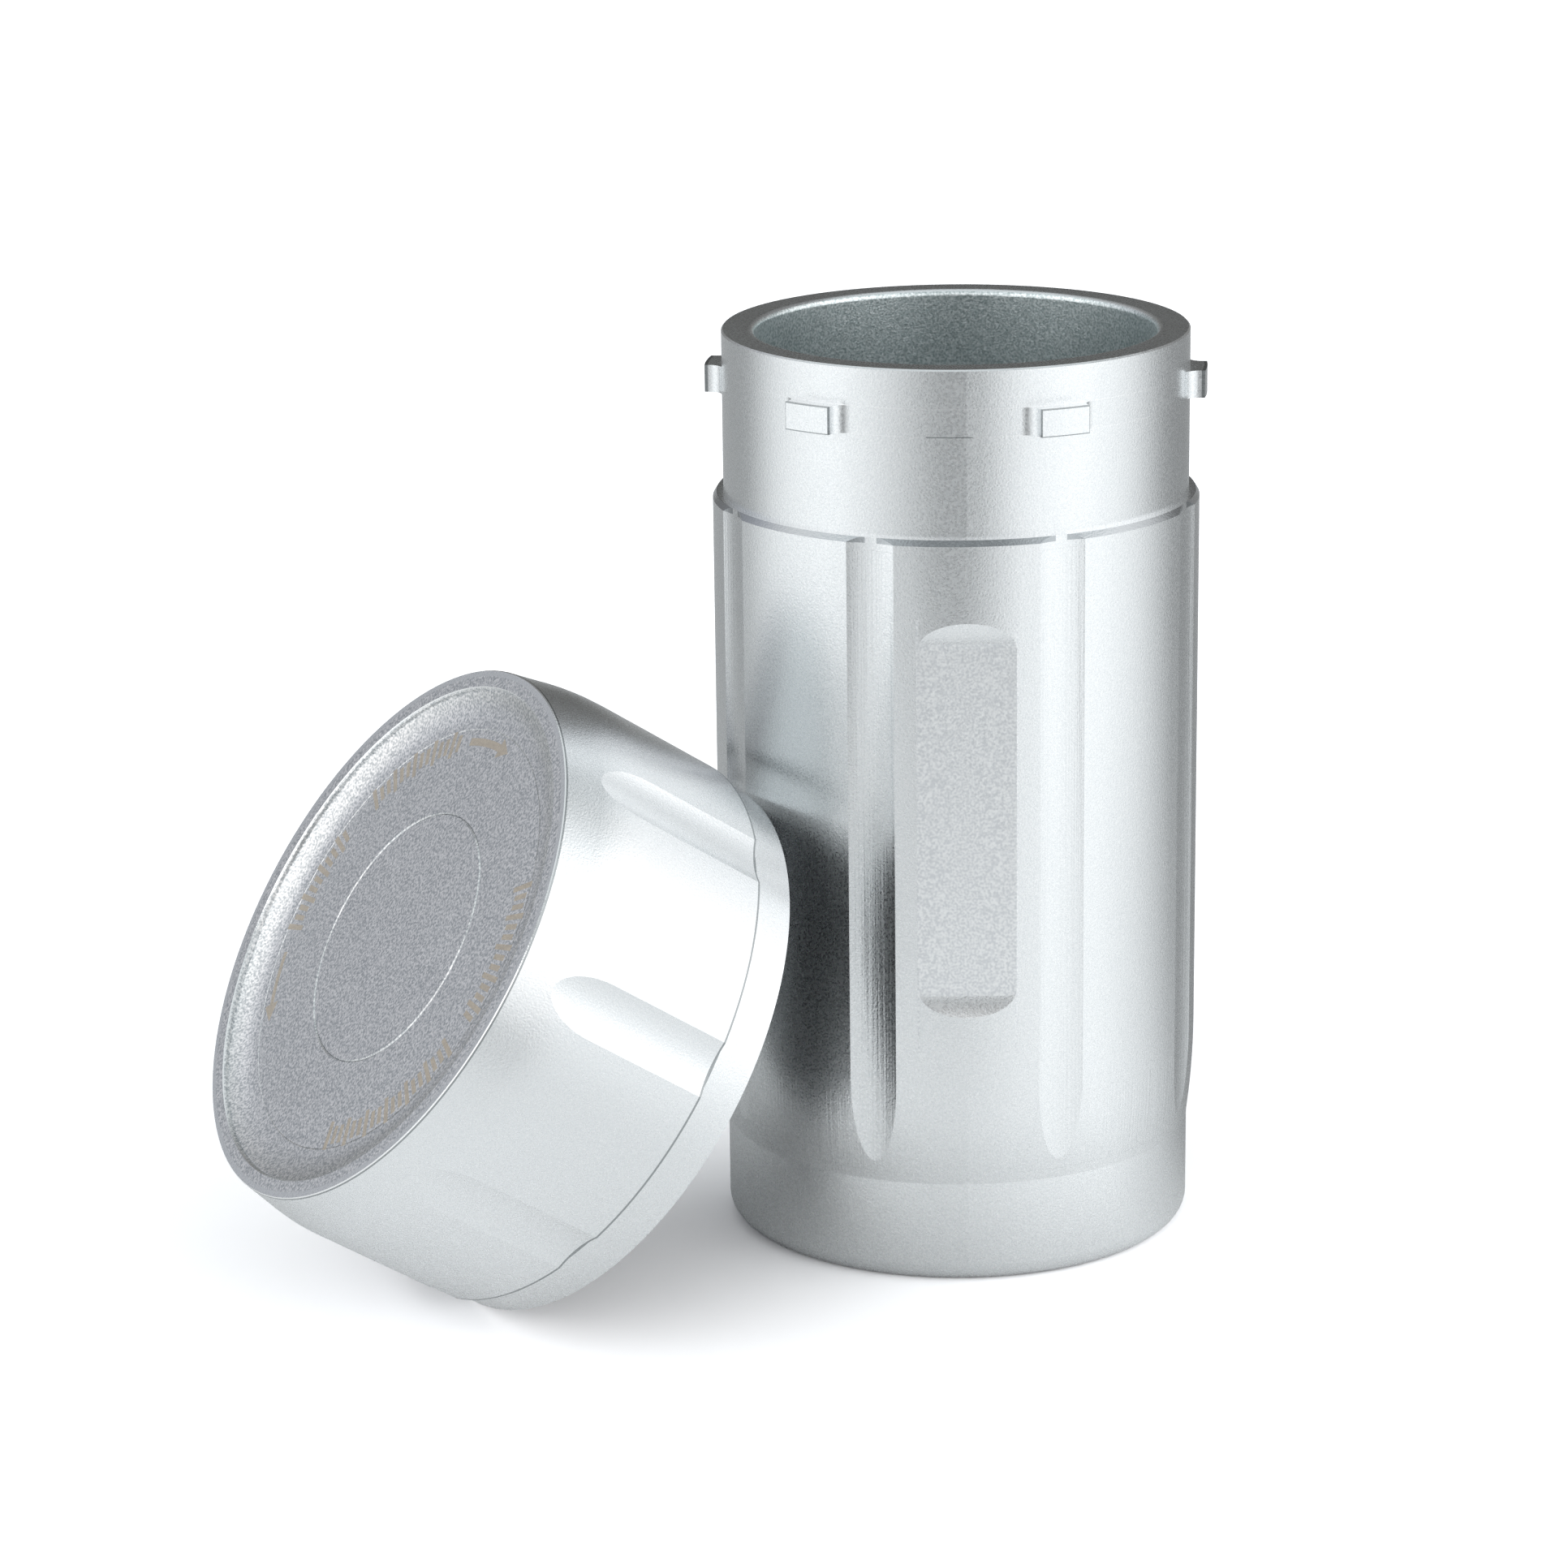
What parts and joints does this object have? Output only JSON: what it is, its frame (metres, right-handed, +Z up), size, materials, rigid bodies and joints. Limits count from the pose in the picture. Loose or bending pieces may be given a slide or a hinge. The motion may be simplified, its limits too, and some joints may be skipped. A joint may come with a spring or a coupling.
{
  "type": "locking storage jar",
  "caption": "Fluted round metal storage jar with a bayonet neck, its push-and-turn cap taken off and leaning on it.",
  "frame": {"origin": "centre of the jar's base, on the surface it stands on", "axes": "+Z up the jar's axis and out of its mouth; -Y is the side that faces a viewer, with the flat panel a little to its right; the cap leans on the jar's -X side"},
  "size_m": [0.1224, 0.0984, 0.1138],
  "materials": {
    "jar_aluminium": "bead blasted, clear anodised",
    "cap_aluminium": "bead blasted, clear anodised",
    "disc_aluminium": "bead blasted, clear anodised",
    "sleeve_aluminium": "turned, clear anodised",
    "plate_aluminium": "turned, clear anodised",
    "spring_steel": "rolled strip",
    "gasket_rubber": "moulded silicone rubber",
    "washer_acetal": "machined acetal"
  },
  "bodies": {
    "jar": {"jar_body": "jar_aluminium"},
    "cap": {"cap_shell": "cap_aluminium", "centre_disc": "disc_aluminium", "bayonet_sleeve": "sleeve_aluminium", "retaining_ring": "spring_steel"},
    "spring_pack": {"slip_washer": "washer_acetal", "wave_spring": "spring_steel"},
    "plate": {"pressure_plate": "plate_aluminium", "sealing_gasket": "gasket_rubber"}
  },
  "joints": [
    {"name": "cap_lift", "type": "slide", "parent": "jar", "child": "cap", "axis": [-0.7351, -0.3958, 0.5505], "range_m": [0, 0.07]},
    {"name": "spring_turn", "type": "hinge", "parent": "cap", "child": "spring_pack", "pos_m": [-0.04367, -0.02351, 0.02942], "axis": [-0.7351, -0.3958, 0.5505], "continuous": true},
    {"name": "plate_push", "type": "slide", "parent": "spring_pack", "child": "plate", "axis": [-0.7351, -0.3958, 0.5505], "range_m": [0, 0.0018], "stiffness_N_per_m": 3000, "springref_m": -0.002, "deforming": ["wave_spring"]}
  ]
}
